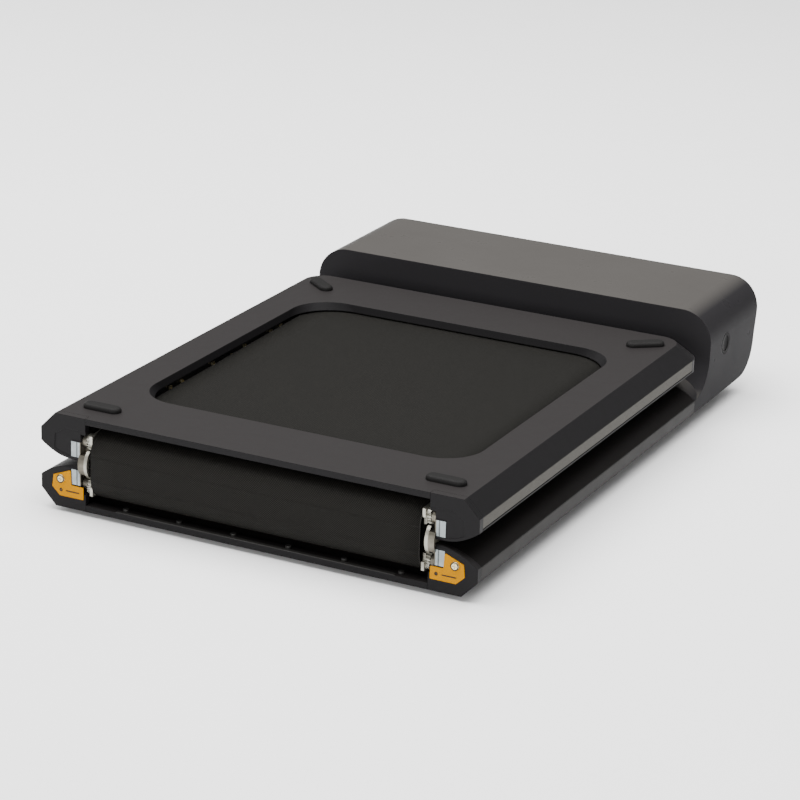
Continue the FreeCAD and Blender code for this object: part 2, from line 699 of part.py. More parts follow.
def roller_bearings(roller):
    """Two sealed bearings pressed into the roller's ends, running on the fixed axle."""
    y, z, radius = roller
    x = (ROLLER_HALF - BEARING_WIDTH - 2, ROLLER_HALF - 2)
    race = rod_x(radius - 3, x, y, z).cut(rod_x(AXLE_RADIUS + RUNNING, (0, LONG), y, z))
    return both_sides(race)


def roller_drum(roller):
    """Steel drum, slightly crowned at its ends, hollow between its bearings."""
    y, z, radius = roller
    drum = rod_x(radius, (-ROLLER_HALF, ROLLER_HALF), y, z)
    drum = drum.makeChamfer(0.8, [edge for edge in drum.Edges if edge.BoundBox.XLength < 0.01])
    return drum.cut(rod_x(radius - 3, (-LONG, LONG), y, z))


def drive_drum():
    """Drive roller with its ribbed pulley pressed into one end."""
    y, z, radius = DRIVE_ROLLER
    drum = roller_drum(DRIVE_ROLLER)
    left = -ROLLER_HALF
    pulley = rod_x(DRIVEN_PULLEY_RADIUS, PULLEY_SPAN, y, z)
    pulley = ribbed(pulley, DRIVEN_PULLEY_RADIUS, y, z)
    neck = rod_x(radius - 3, (PULLEY_SPAN[1], left + 2), y, z)
    return fused([drum, pulley, neck]).cut(rod_x(AXLE_RADIUS + 1, (-LONG, left + 3), y, z))


def ribbed(pulley, radius, y, z):
    """Cuts the belt's grooves round a pulley."""
    ribs = 4
    pitch = (PULLEY_SPAN[1] - PULLEY_SPAN[0]) / (ribs + 1)
    for rib in range(ribs):
        x = PULLEY_SPAN[0] + pitch * (rib + 0.75)
        ring = rod_x(radius + 1, (x, x + pitch / 2), y, z).cut(rod_x(radius - 1, (x, x + pitch / 2), y, z))
        pulley = pulley.cut(ring)
    return pulley


def drive_roller_brackets():
    """Upright plates that hold the drive roller's axle beyond the side beams."""
    y, z, _ = DRIVE_ROLLER
    plates = []
    for x in ((BEAM_INNER - 4, BEAM_INNER + 1), (-BEAM_OUTER + 4, -BEAM_OUTER + 9)):
        plate = box(x, (FRONT_BEAM_END + 5, y + 22), (SHELL + 0.2, z + 16))
        plates.append(plate.cut(rod_x(AXLE_RADIUS, (-LONG / 2, LONG / 2), y, z)))
    return plates


def drive_belt():
    """Ribbed belt round the drive roller's pulley and the motor's."""
    gap = 0.1
    loops = []
    for grow in (2.2, gap):
        circles = [(DRIVE_ROLLER[0], DRIVE_ROLLER[1], DRIVEN_PULLEY_RADIUS + grow),
                   (MOTOR[0], MOTOR[1], MOTOR_PULLEY_RADIUS + grow)]
        loops.append(belt_round(circles))
    return loops[0].cut(loops[1])


def belt_round(circles):
    """The solid stretched round two circles (y, z, radius)."""
    (y1, z1, r1), (y2, z2, r2) = circles
    x = (PULLEY_SPAN[0] + 1, PULLEY_SPAN[1] - 1)
    span = math.hypot(y2 - y1, z2 - z1)
    heading = math.atan2(z2 - z1, y2 - y1)
    open_angle = math.acos((r1 - r2) / span)
    corners = []
    for y, z, r, sign in ((y1, z1, r1, 1), (y2, z2, r2, 1), (y2, z2, r2, -1), (y1, z1, r1, -1)):
        angle = heading + sign * open_angle
        corners.append((y + r * math.cos(angle), z + r * math.sin(angle)))
    return fused([prism_x(corners, x), rod_x(r1, x, y1, z1), rod_x(r2, x, y2, z2)])


def motor_body():
    """Closed motor with cooling ribs round its can and a bore for its shaft."""
    y, z, radius = MOTOR
    left, right = MOTOR_SPAN
    can = rod_x(radius, MOTOR_SPAN, y, z)
    ribs = 9
    pitch = (right - left - 30) / ribs
    for rib in range(ribs):
        x = left + 15 + pitch * rib
        ring = rod_x(radius + 1, (x, x + pitch / 2), y, z).cut(rod_x(radius - 2, (x, x + pitch / 2), y, z))
        can = can.cut(ring)
    return can.cut(rod_x(MOTOR_SHAFT_RADIUS + RUNNING, (left - 1, right - 10), y, z))


def motor_shaft():
    y, z, _ = MOTOR
    return rod_x(MOTOR_SHAFT_RADIUS, (PULLEY_SPAN[0] - 2, MOTOR_SPAN[1] - 12), y, z)


def motor_pulley():
    y, z, _ = MOTOR
    pulley = ribbed(rod_x(MOTOR_PULLEY_RADIUS, PULLEY_SPAN, y, z), MOTOR_PULLEY_RADIUS, y, z)
    return pulley.cut(rod_x(MOTOR_SHAFT_RADIUS, (-LONG, 0), y, z))


def motor_bracket():
    """Steel base plate with two saddles under the motor."""
    y, z, radius = MOTOR
    base = box((-200, 200), (FRONT_BEAM_END + 6, 702), (SHELL + 0.2, SHELL + 3.2))
    pieces = [base]
    outline = [(676, SHELL + 0.2), (702, SHELL + 0.2), (736, 36), (757, 66),
               (757, 74), (693, 74), (682, 50)]
    for x in (MOTOR_SPAN[0] + 4, MOTOR_SPAN[1] - 8):
        pieces.append(prism_x(outline, (x, x + 4)))
    return fused(pieces).cut(rod_x(radius + 0.1, (-LONG / 2, LONG / 2), y, z))


def control_board():
    """Circuit board with capacitors, relays and a transformer on four standoffs."""
    base = SHELL + 3.2
    board = box((10, 190), (680, 702), (18, 19.6))
    wings = box((10, 190), (700, 734), (28, 29.6))
    step = box((10, 190), (700, 702), (18, 29.6))
    pieces = [board, step, wings]
    for x in (16, 184):
        pieces.append(rod_z(3.0, x, 686, (base, 18)))
        pieces.append(rod_z(3.0, x, 697, (base, 18)))
    for count in range(3):
        pieces.append(rod_z(6.0, 152 + 14 * count, 722, (29.6, 52)))
    pieces.append(box((20, 50), (706, 730), (29.6, 46)))
    return fused(pieces)


def heat_sink():
    """Finned aluminium block standing on the control board."""
    x = (60, 140)
    pieces = [box(x, (704, 732), (29.6, 34))]
    fins = 8
    for fin in range(fins):
        low = x[0] + fin * (x[1] - x[0] - 3) / (fins - 1)
        pieces.append(box((low, low + 3), (704, 732), (34, 58)))
    return fused(pieces)


def display_board():
    """Light-up display under the cover's top, hung on two posts."""
    board = box((-70, 70), (640, 668), (115, 116.6))
    lamps = box((-45, 45), (644, 664), (116.6, 121))
    posts = [rod_z(3.0, x, 654, (116.6, HOUSING_TOP - SHELL)) for x in (-62, 62)]
    return fused([board, lamps] + posts)


# Controls, inlet and wheels

def button_bezel():
    """Ring round the side button, with a guide tube behind it."""
    y, z, radius = BUTTON
    ring = rod_x(radius, (HALF_WIDTH - 12, HALF_WIDTH), y, z)
    ring = ring.makeChamfer(0.6, [edge for edge in ring.Edges
                                  if edge.BoundBox.XMin > HALF_WIDTH - 0.1 and edge.Length > radius])
    bore = rod_x(BUTTON_FACE_RADIUS + 0.3, (HALF_WIDTH - 8, HALF_WIDTH + 1), y, z)
    stem = rod_x(BUTTON_FACE_RADIUS - 2.7, (HALF_WIDTH - 13, HALF_WIDTH), y, z)
    return ring.cut(bore).cut(stem)


def side_button():
    """Dished push button with its stem."""
    y, z, _ = BUTTON
    cap = rod_x(BUTTON_FACE_RADIUS, (HALF_WIDTH - 5, HALF_WIDTH - 0.5), y, z)
    dish = Part.makeSphere(60, Vector(HALF_WIDTH - 1.1 + 60, y, z))
    stem = rod_x(BUTTON_FACE_RADIUS - 3, (HALF_WIDTH - 15, HALF_WIDTH - 5), y, z)
    return fused([cap.cut(dish), stem])


def power_module():
    """Inlet and switch housing let into the back of the motor cover."""
    depth = 24.0
    body = box((POWER_X[0] + SEAM, POWER_X[1] - SEAM), (POWER_FACE - depth, POWER_FACE),
               (POWER_Z[0] + SEAM, POWER_Z[1] - SEAM))
    middle = -184.0
    socket_mouth = [(middle - 12, 72.0), (middle + 12, 72.0), (middle + 12, 83.0), (middle + 7, 88.0),
                    (middle - 7, 88.0), (middle - 12, 83.0)]
    body = body.cut(prism_y(socket_mouth, (POWER_FACE - 16, POWER_FACE + 1)))
    pins = [box((middle + x - 0.8, middle + x + 0.8), (POWER_FACE - 18, POWER_FACE - 7), (z - 2, z + 2))
            for x, z in ((-6.0, 78.0), (0.0, 82.0), (6.0, 78.0))]
    window = box((ROCKER_PIVOT[0] - 9, ROCKER_PIVOT[0] + 9),
                 (POWER_FACE - 16, POWER_FACE + 1), (69.0, 91.0))
    return fused([body.cut(window)] + pins)


def power_switch():
    """Rocker with two faces at a shallow angle, pressed to one side at rest."""
    x, y, z = ROCKER_PIVOT
    half = 9.6
    face = POWER_FACE - y
    rise = half * math.tan(math.radians(ROCKER_TILT))
    outline = [(-4.5, -half + 2.2), (face - 0.6 + rise, -half), (face - 0.6, 0), (face - 0.6 + rise, half),
               (-4.5, half - 2.2)]
    rocker = prism_x([(y + py, z + pz) for py, pz in outline], (x - 8.5, x + 8.5))
    rocker.rotate(Vector(x, y, z), X_AXIS, -ROCKER_TILT)
    return rocker.cut(rod_x(1.5 + RUNNING, (x - 10, x + 10), y, z))


def transport_wheel():
    """Small grooved wheel with a rounded tread."""
    y, z, radius = WHEEL
    wheel = rod_x(radius, WHEEL_SPAN, y, z)
    rims = [edge for edge in wheel.Edges if edge.BoundBox.XLength < 0.01]
    wheel = wheel.makeFillet(3.0, rims)
    for x in ((WHEEL_SPAN[0] - 1, WHEEL_SPAN[0] + 2), (WHEEL_SPAN[1] - 2, WHEEL_SPAN[1] + 1)):
        wheel = wheel.cut(rod_x(radius - 5, x, y, z).cut(rod_x(WHEEL_AXLE_RADIUS + 3, x, y, z)))
    return wheel.cut(rod_x(WHEEL_AXLE_RADIUS + RUNNING, (0, LONG), y, z))


def wheel_axle():
    y, z, _ = WHEEL
    return rod_x(WHEEL_AXLE_RADIUS, (WHEEL_SPAN[0] - 4 - WELL_WALL, WHEEL_SPAN[1] + 4 + WELL_WALL), y, z)


def foot(x, y, turn):
    """Oval rubber foot with a softened sole."""
    length, width = 45.0, 16.0
    straight = (length - width) / 2
    pieces = [box((-straight, straight), (-width / 2, width / 2), (-FOOT_HEIGHT, 0))]
    pieces += [rod_z(width / 2, side, 0, (-FOOT_HEIGHT, 0)) for side in (-straight, straight)]
    pad = fused(pieces)
    sole = [edge for edge in pad.Edges if edge.BoundBox.ZMax < 0.01 - FOOT_HEIGHT]
    pad = pad.makeFillet(FOOT_ROUNDING, sole)
    pad.rotate(Vector(0, 0, 0), Z_AXIS, turn)
    pad.translate(Vector(x, y, 0))
    return pad


def feet(far_x, far_y, turn):
    return both_sides(foot(204.0, 35.0, 0)) + both_sides(foot(far_x, far_y, turn))


def lip_strip():
    """Thin strip along the top of the cover's lip."""
    return box((-166.0, 166.0), (0, 5.0), (LIP_HEIGHT, LIP_HEIGHT + 0.8))


def lip_screws():
    """Row of six screws along the cover's lip."""
    count, pitch = 6, 65.6
    screws = []
    for number in range(count):
        x = (number - (count - 1) / 2) * pitch + 5
        screws.append(rod_z(3.2, x, 9.5, (LIP_HEIGHT, LIP_HEIGHT + 2.6)))
    return screws


def rear_far_cap():
    """Rounded cap across the far end of the rear section, hollow behind."""
    start = REAR_RAIL_END + SEAM
    outline = plan_wire(HALF_WIDTH, start, REAR_LENGTH, FAR_CORNER, CHAMFER_TOP + SEAM)
    plan = prism_of(outline.Edges, Vector(0, 0, LONG / 10))
    profile = prism_of(section_end(0, -1.0), Vector(0, LONG, 0))
    crown = fused([profile, mirror_x(profile)])
    radius = FAR_ROUNDING
    y, z = REAR_LENGTH - radius, CREST - radius
    square = box((-LONG / 2, LONG / 2), (y, LONG), (z, LONG))
    rounding = square.cut(rod_x(radius, (-LONG / 2, LONG / 2), y, z))
    shell = plan.common(crown).cut(rounding)
    hollow = box((-BEAM_OUTER, BEAM_OUTER), (0, REAR_LENGTH - 12), (0, CREST - 5))
    mouth = box((3 - NOTCH_HALF, NOTCH_HALF - 3), (0, REAR_LENGTH - 12), (0, LONG))
    wall_room = box((-HALF_WIDTH + SHELL, HALF_WIDTH - SHELL), (0, REAR_RAIL_END + 6), (0, WALL_TOP - 2))
    for tool in (hollow, mouth, wall_room):
        shell = shell.cut(tool)
    for side in both_sides(rod_y(TENSION_RADIUS + 2.5, TENSION_X, (0, LONG), REAR_ROLLER[1])):
        shell = shell.cut(side)
    return shell


def tension_bolt():
    """Bolt that pushes the rear roller's axle back to tighten the belt."""
    z = REAR_ROLLER[1]
    tip = REAR_ROLLER[0] + AXLE_RADIUS + 0.1
    shank = rod_y(TENSION_RADIUS, TENSION_X, (tip, REAR_LENGTH - 10), z)
    head = rod_y(TENSION_RADIUS + 2, TENSION_X, (REAR_LENGTH - 10, REAR_LENGTH - 4), z)
    socket = rod_y(2.0, TENSION_X, (REAR_LENGTH - 7, LONG), z)
    return fused([shank, head]).cut(socket)


# Assembly

def front_section():
    drum_x = (-BEAM_OUTER + 4, BEAM_INNER + 1)
    return {
        "front_bottom_cover": [front_tray()],
        "front_rails": both_sides(rail(FRONT_RAIL_END - SEAM, WALL_TOP - 1)),
        "front_side_trims": both_sides(side_trim(FRONT_RAIL_END - SEAM, WALL_TOP - 1 - SEAM)),
        "front_end_caps": both_sides(front_end_cap()),
        "front_frame": frame(FRONT_BEAM_END, FRONT_TUBES),
        "front_deck": [deck(FRONT_BEAM_END + 4, FRONT_TUBES)],
        "front_deck_cushions": deck_cushions(FRONT_TUBES),
        "front_deck_bolts": deck_bolts(FRONT_TUBES),
        "front_belt": [belt_loop(DRIVE_ROLLER)],
        "front_feet": feet(211.0, 664.0, 0),
        "front_hinge_leaves": both_sides(hinge_leaf()),
        "front_gear_plates": both_sides(gear_plate(True)),
        "caution_plates": both_sides(caution_plate()),
        "plate_screws": both_sides(plate_screw()),
        "lip_strip": [lip_strip()],
        "lip_screws": lip_screws(),
        "motor_cover": [motor_cover()],
        "display_board": [display_board()],
        "drive_roller_brackets": drive_roller_brackets(),
        "drive_roller_axle": [roller_axle(DRIVE_ROLLER, drum_x)],
        "motor_body": [motor_body()],
        "motor_bracket": [motor_bracket()],
        "drive_belt": [drive_belt()],
        "control_board": [control_board()],
        "heat_sink": [heat_sink()],
        "button_bezel": [button_bezel()],
        "power_inlet": [power_module()],
        "wheel_axles": both_sides(wheel_axle()),
    }


def moving_front_pieces():
    wheels = both_sides(transport_wheel())
    return {
        "drive_roller": [drive_drum()],
        "drive_bearings": roller_bearings(DRIVE_ROLLER),
        "motor_shaft": [motor_shaft()],
        "motor_pulley": [motor_pulley()],
        "transport_wheel_right": [wheels[0]],
        "transport_wheel_left": [wheels[1]],
        "side_button": [side_button()],
        "power_switch": [power_switch()],
    }


def hinge_pieces():
    low, high = idler_heights()
    return {
        "link_plates": both_sides(link_plate()),
        "hinge_pins": hinge_pins(),
        "belt_wrap": [belt_wrap()],
        "belt_bridge": [belt_bridge()],
        "lower_idler_gears": both_sides(idler(low, False)),
        "upper_idler_gears": both_sides(idler(high, True)),
    }


def rear_section():
    y, z, _ = REAR_ROLLER
    axle_slot = box((BEAM_INNER - 1, BEAM_INNER + BEAM_WALL + 1), (y - 9, y + 9), (z - 7, z + 7))
    beams = both_sides(side_beam(REAR_BEAM_END).cut(axle_slot))
    bolts = []
    for y_bolt in BEAM_BOLT_YS:
        bolts += both_sides(beam_bolt(y_bolt))
    axle_x = (-BEAM_INNER - BEAM_WALL - 1, BEAM_INNER + BEAM_WALL + 1)
    lower = {
        "rear_bottom_cover": [rear_tray()],
        "rear_rails": both_sides(rail(REAR_RAIL_END, WALL_TOP - 2)),
        "rear_side_trims": both_sides(side_trim(REAR_RAIL_END, WALL_TOP - 3)),
        "rear_end_caps": both_sides(rear_end_cap_side()),
        "rear_far_cap": [rear_far_cap()],
        "rear_frame": beams + [cross_tube(y) for y in REAR_TUBES],
        "rear_deck": [deck(540.0, REAR_TUBES)],
        "rear_deck_cushions": deck_cushions(REAR_TUBES),
        "rear_deck_bolts": deck_bolts(REAR_TUBES),
        "rear_beam_bolts": bolts,
        "rear_belt": [belt_loop(REAR_ROLLER)],
        "rear_feet": feet(211.0, 538.0, 38.0),
        "rear_hinge_leaves": both_sides(hinge_leaf()),
        "rear_gear_plates": both_sides(gear_plate(False)),
        "rear_roller": [roller_drum(REAR_ROLLER)],
        "rear_bearings": roller_bearings(REAR_ROLLER),
        "rear_roller_axle": [roller_axle(REAR_ROLLER, axle_x)],
        "tension_bolts": both_sides(tension_bolt()),
    }
    return {name: flip_all(shapes) for name, shapes in lower.items()}


def write_all(groups):
    os.makedirs("parts", exist_ok=True)
    shift = Vector(0, -Y_CENTRE, FOOT_HEIGHT)
    for group in groups:
        for name, shapes in group.items():
            piece = Part.makeCompound([shape.translated(shift) for shape in shapes])
            if len(shapes) == 1:
                piece = piece.SubShapes[0]
            piece.exportStep("parts/" + name + ".step")


write_all([front_section(), moving_front_pieces(), hinge_pieces(), rear_section()])
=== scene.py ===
import json
import math

import bmesh
import bpy
from mathutils import Matrix, Vector


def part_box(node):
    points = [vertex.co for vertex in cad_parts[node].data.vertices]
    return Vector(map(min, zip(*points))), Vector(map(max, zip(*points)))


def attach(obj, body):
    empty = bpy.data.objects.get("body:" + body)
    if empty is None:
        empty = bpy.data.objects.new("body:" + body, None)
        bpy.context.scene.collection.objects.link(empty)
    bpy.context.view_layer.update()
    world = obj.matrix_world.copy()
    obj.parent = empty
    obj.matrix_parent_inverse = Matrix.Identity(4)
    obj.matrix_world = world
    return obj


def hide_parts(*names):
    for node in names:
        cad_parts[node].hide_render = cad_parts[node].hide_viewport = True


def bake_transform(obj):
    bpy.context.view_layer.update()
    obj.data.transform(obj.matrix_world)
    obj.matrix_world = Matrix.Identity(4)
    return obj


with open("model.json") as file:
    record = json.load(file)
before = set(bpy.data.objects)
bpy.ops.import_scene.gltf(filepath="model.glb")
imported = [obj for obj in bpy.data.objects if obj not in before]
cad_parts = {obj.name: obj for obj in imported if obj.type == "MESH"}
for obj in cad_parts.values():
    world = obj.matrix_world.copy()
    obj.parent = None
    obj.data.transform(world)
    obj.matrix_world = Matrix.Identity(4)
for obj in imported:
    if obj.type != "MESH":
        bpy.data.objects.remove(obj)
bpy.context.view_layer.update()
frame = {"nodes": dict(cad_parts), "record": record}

MM = 0.001

# Camera: where it stands, the directions of its picture's right and top, and its lens
CAMERA_AT = Vector((1.4403, -2.9570, 1.2352))
CAMERA_RIGHT = Vector((0.8908, 0.4533, 0.0281))
CAMERA_UP = Vector((-0.1774, 0.2903, 0.9403))
LENS = 137.9
FAR_LIMIT = 20

# Belt sizes, from the frame's own boxes
WRAP_LOW, WRAP_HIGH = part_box("belt_wrap")
BRIDGE_LOW, BRIDGE_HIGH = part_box("belt_bridge")
FRONT_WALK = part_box("front_belt")[1].z
REAR_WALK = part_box("rear_belt")[0].z
BELT_HALF = WRAP_HIGH.x
BELT_THICK = BRIDGE_HIGH.y - BRIDGE_LOW.y
WRAP_RADIUS = WRAP_HIGH.y - WRAP_LOW.y
DECK_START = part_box("front_deck")[0].y

# Belt strips: the weave, the bridge's thin ends, and how finely the strips are divided
WEAVE_PITCH = 2.3 * MM
THIN_EDGE = 0.3 * MM
KNEE_DROP = 4 * MM
BELT_COLUMNS = 13
ROW = 2 * BELT_COLUMNS
RUN_STEP = 20 * MM
WRAP_STEP = 3 * MM
BRIDGE_STEP = 4 * MM
ROLLER_STEPS = 40
WRAP_STEPS = 20
KNEE_STEPS = 10
WOVEN, CUT_EDGE, END = "woven", "cut edge", "end"

# Hinge plates, by their distance from the middle of the machine
LINK_MIDDLE = 207.4 * MM
LINK_HALF = 3.65 * MM
LEAF_FOLD = 214.8 * MM
FOLD_HALF = 0.35 * MM

# Marks on the caution plates
RING_INNER_INSET = 1.5 * MM
RING_OUTER_INSET = 0.1 * MM
RING_HEIGHT = 0.15 * MM
MARK_HEIGHT = 0.12 * MM
MARK_DROP = 12.8 * MM
DOT_X = {"left": -234 * MM, "right": 213 * MM}
DOT_HOLE = 0.3 * MM
DOT_RADIUS = 2.1 * MM
DOT_SEGMENTS = 40
DOT_TO_BAR = 14.5 * MM
BAR_LENGTH = 17 * MM
BAR_WIDTH = 1.5 * MM

# Looks that several materials share
MARK_RANGE = (0.3, 0.7)
CLOUD_RANGE = (0.35, 0.7)
SMOOTH_ANGLE = math.radians(28)
FLOOR_SIZE = 30


def make_camera():
    """Stands the camera where the picture is taken from."""
    data = bpy.data.cameras.new("camera")
    data.lens = LENS
    data.clip_end = FAR_LIMIT
    camera = bpy.data.objects.new("camera", data)
    right = CAMERA_RIGHT.normalized()
    back = right.cross(CAMERA_UP).normalized()
    up = back.cross(right)
    facing = Matrix((right, up, back)).transposed().to_4x4()
    camera.matrix_world = Matrix.Translation(CAMERA_AT) @ facing
    bpy.context.scene.collection.objects.link(camera)
    bpy.context.scene.camera = camera


# Materials

class Shader:
    """A material under construction, with short ways to add and join nodes."""

    SOCKETS = {"colour": "Base Color", "rough": "Roughness", "metal": "Metallic",
               "specular": "Specular IOR Level"}

    def __init__(self, name):
        self.material = bpy.data.materials.new(name)
        self.material.use_nodes = True
        self.tree = self.material.node_tree
        self.principled = self.tree.nodes["Principled BSDF"]

    def node(self, kind, **settings):
        made = self.tree.nodes.new(kind)
        for key, value in settings.items():
            setattr(made, key, value)
        return made

    def join(self, output, socket):
        self.tree.links.new(output, socket)

    def surface(self, **values):
        """Sets the surface's own sockets: a number is written there, a node's output is joined to it."""
        for key, value in values.items():
            socket = self.principled.inputs[self.SOCKETS[key]]
            if isinstance(value, (int, float)):
                socket.default_value = value
            else:
                self.join(value, socket)

    def place(self, stretch=(1, 1, 1)):
        """The object's own coordinates, stretched for a pattern with a direction."""
        coords = self.node("ShaderNodeTexCoord")
        mapping = self.node("ShaderNodeMapping")
        mapping.inputs["Scale"].default_value = stretch
        self.join(coords.outputs["Object"], mapping.inputs["Vector"])
        return mapping.outputs["Vector"]

    def axis(self, output, letter):
        """One axis of the object's own coordinates or of its surface normal."""
        coords = self.node("ShaderNodeTexCoord")
        split = self.node("ShaderNodeSeparateXYZ")
        self.join(coords.outputs[output], split.inputs["Vector"])
        return split.outputs[letter]

    def noise(self, vector, scale, detail=2.0, rough=0.5):
        noise = self.node("ShaderNodeTexNoise")
        noise.inputs["Scale"].default_value = scale
        noise.inputs["Detail"].default_value = detail
        noise.inputs["Roughness"].default_value = rough
        self.join(vector, noise.inputs["Vector"])
        return noise.outputs["Fac"]

    def span(self, value, low, high, from_low=0.0, from_high=1.0):
        ranged = self.node("ShaderNodeMapRange")
        ranged.inputs["From Min"].default_value = from_low
        ranged.inputs["From Max"].default_value = from_high
        ranged.inputs["To Min"].default_value = low
        ranged.inputs["To Max"].default_value = high
        self.join(value, ranged.inputs["Value"])
        return ranged.outputs["Result"]

    def math(self, operation, *values):
        made = self.node("ShaderNodeMath", operation=operation)
        for socket, value in zip(made.inputs, values):
            if isinstance(value, (int, float)):
                socket.default_value = value
            else:
                self.join(value, socket)
        return made.outputs["Value"]

    def mix(self, factor, a, b):
        """A colour between a and b, each of them a plain colour or another node's output."""
        mix = self.node("ShaderNodeMix", data_type="RGBA")
        factor_socket, a_socket, b_socket = mix.inputs[0], mix.inputs[6], mix.inputs[7]
        self.join(factor, factor_socket)
        for socket, value in ((a_socket, a), (b_socket, b)):
            if isinstance(value, tuple):
                socket.default_value = (*value, 1)
            else:
                self.join(value, socket)
        return mix.outputs[2]

    def bump(self, height, distance, edge=0.0):
        """Fine relief from a height, and softened edges where edge gives their radius."""
        bump = self.node("ShaderNodeBump")
        bump.inputs["Distance"].default_value = distance
        bump.inputs["Strength"].default_value = 1.0
        self.join(height, bump.inputs["Height"])
        if edge:
            bevel = self.node("ShaderNodeBevel", samples=6)
            bevel.inputs["Radius"].default_value = edge
            self.join(bevel.outputs["Normal"], bump.inputs["Normal"])
        self.join(bump.outputs["Normal"], self.principled.inputs["Normal"])


def moulded_plastic(name, colour, rough, grain=0.04 * MM, grain_scale=900.0, edge=0.6 * MM, tint=0.12,
                    shine=0.3):
    """Moulded plastic: fine grain, slow colour drift, faint handling marks in its roughness."""
    s = Shader(name)
    vector = s.place()
    drift = s.noise(vector, 9.0, 3.0)
    light = tuple(c * (1 + tint) for c in colour)
    dark = tuple(c * (1 - tint) for c in colour)
    marks = s.noise(vector, 38.0, 5.0, 0.62)
    s.surface(colour=s.mix(drift, dark, light), rough=s.span(marks, rough - 0.03, rough + 0.03, *MARK_RANGE),
              specular=shine)
    s.bump(s.noise(vector, grain_scale, 1.5), grain, edge)
    return s.material


def cover_plastic(name):
    """Fine-textured plastic of the covers, with painted light and shade: the flat faces are painted paler, as
    lit, and the edges and ends near black, as painted shade.
    """
    s = Shader(name)
    vector = s.place()
    # Painted light and shade: faces turned up or down get the paler colour of a lit face, sloping and upright
    # ones the near-black colour of a shaded face.
    flat = s.span(s.math("ABSOLUTE", s.axis("Normal", "Z")), 0.0, 1.0, 0.7, 1.0)
    drift = s.noise(vector, 9.0, 3.0)
    # Painted shade colour for the edges and ends, then the painted lit colour for the flat faces.
    side = s.mix(drift, (0.0052, 0.0048, 0.0052), (0.0058, 0.0053, 0.0058))
    top = s.mix(drift, (0.0138, 0.0122, 0.0121), (0.0145, 0.0128, 0.0127))
    marks = s.noise(vector, 38.0, 5.0, 0.62)
    s.surface(colour=s.mix(flat, side, top), rough=s.span(marks, 0.48, 0.53, *MARK_RANGE), specular=0.10)
    s.bump(s.noise(vector, 1400.0, 1.5), 0.06 * MM, edge=0.8 * MM)
    return s.material


def housing_plastic(name):
    """Satin black plastic with a painted sheen: its level top is painted paler and warmer than its sides,
    standing in for light on the top.
    """
    s = Shader(name)
    vector = s.place()
    # Painted sheen: the more a face turns upwards, the more of the paler, warmer top colour it is given.
    painted_top_sheen = s.span(s.axis("Normal", "Z"), 0.0, 1.0, 0.82, 1.0)
    drift = s.noise(vector, 7.0, 3.0)
    # The sides' own satin black, then the painted sheen colour of the level top.
    side = s.mix(drift, (0.0165, 0.0157, 0.0168), (0.0195, 0.0186, 0.0198))
    top = s.mix(drift, (0.048, 0.045, 0.042), (0.056, 0.053, 0.050))
    marks = s.noise(vector, 30.0, 5.0, 0.6)
    s.surface(colour=s.mix(painted_top_sheen, side, top), rough=s.span(marks, 0.26, 0.36, *MARK_RANGE), specular=0.008)
    s.bump(s.noise(vector, 1500.0, 1.0), 0.008 * MM, edge=1.5 * MM)
    return s.material


def brushed_metal(name, colour, rough, stretch=(1, 1, 14), edge=0.4 * MM, metal=1.0, tarnish=0.72, shine=0.5):
    """Metal with fine directional scratches and a little tarnish."""
    s = Shader(name)
    lines = s.noise(s.place(stretch), 160.0, 3.0, 0.6)
    cloud = s.span(s.noise(s.place(), 45.0, 4.0), 0.0, 1.0, *CLOUD_RANGE)
    dull = tuple(c * tarnish for c in colour)
    s.surface(colour=s.mix(cloud, dull, colour), rough=s.span(lines, rough - 0.08, rough + 0.12, *MARK_RANGE),
              metal=metal, specular=shine)
    s.bump(lines, 0.03 * MM, edge)
    return s.material


def zinc_material(name):
    """Zinc plate: bluish leaves folded double, a darker, duller link, and paler gear plates inside it."""
    s = Shader(name)
    across = s.math("ABSOLUTE", s.axis("Object", "X"))
    cloud = s.span(s.noise(s.place(), 60.0, 4.0), 0.0, 1.0, *CLOUD_RANGE)
    leaf = s.mix(cloud, (0.21, 0.235, 0.24), (0.34, 0.375, 0.38))
    link = s.mix(cloud, (0.09, 0.083, 0.066), (0.19, 0.175, 0.145))
    plate = s.mix(cloud, (0.24, 0.232, 0.195), (0.42, 0.41, 0.36))
    is_link = s.math("COMPARE", across, LINK_MIDDLE, LINK_HALF)
    is_leaf = s.math("GREATER_THAN", across, LINK_MIDDLE + LINK_HALF)
    fold = s.math("COMPARE", across, LEAF_FOLD, FOLD_HALF)
    plain = s.mix(is_leaf, s.mix(is_link, plate, link), leaf)
    lines = s.noise(s.place((1, 1, 14)), 160.0, 3.0, 0.6)
    s.surface(colour=s.mix(s.math("MULTIPLY", fold, 0.9), plain, (0.02, 0.02, 0.02)),
              rough=s.span(lines, 0.28, 0.48, *MARK_RANGE), metal=0.85)
    s.bump(lines, 0.03 * MM, edge=0.4 * MM)
    return s.material


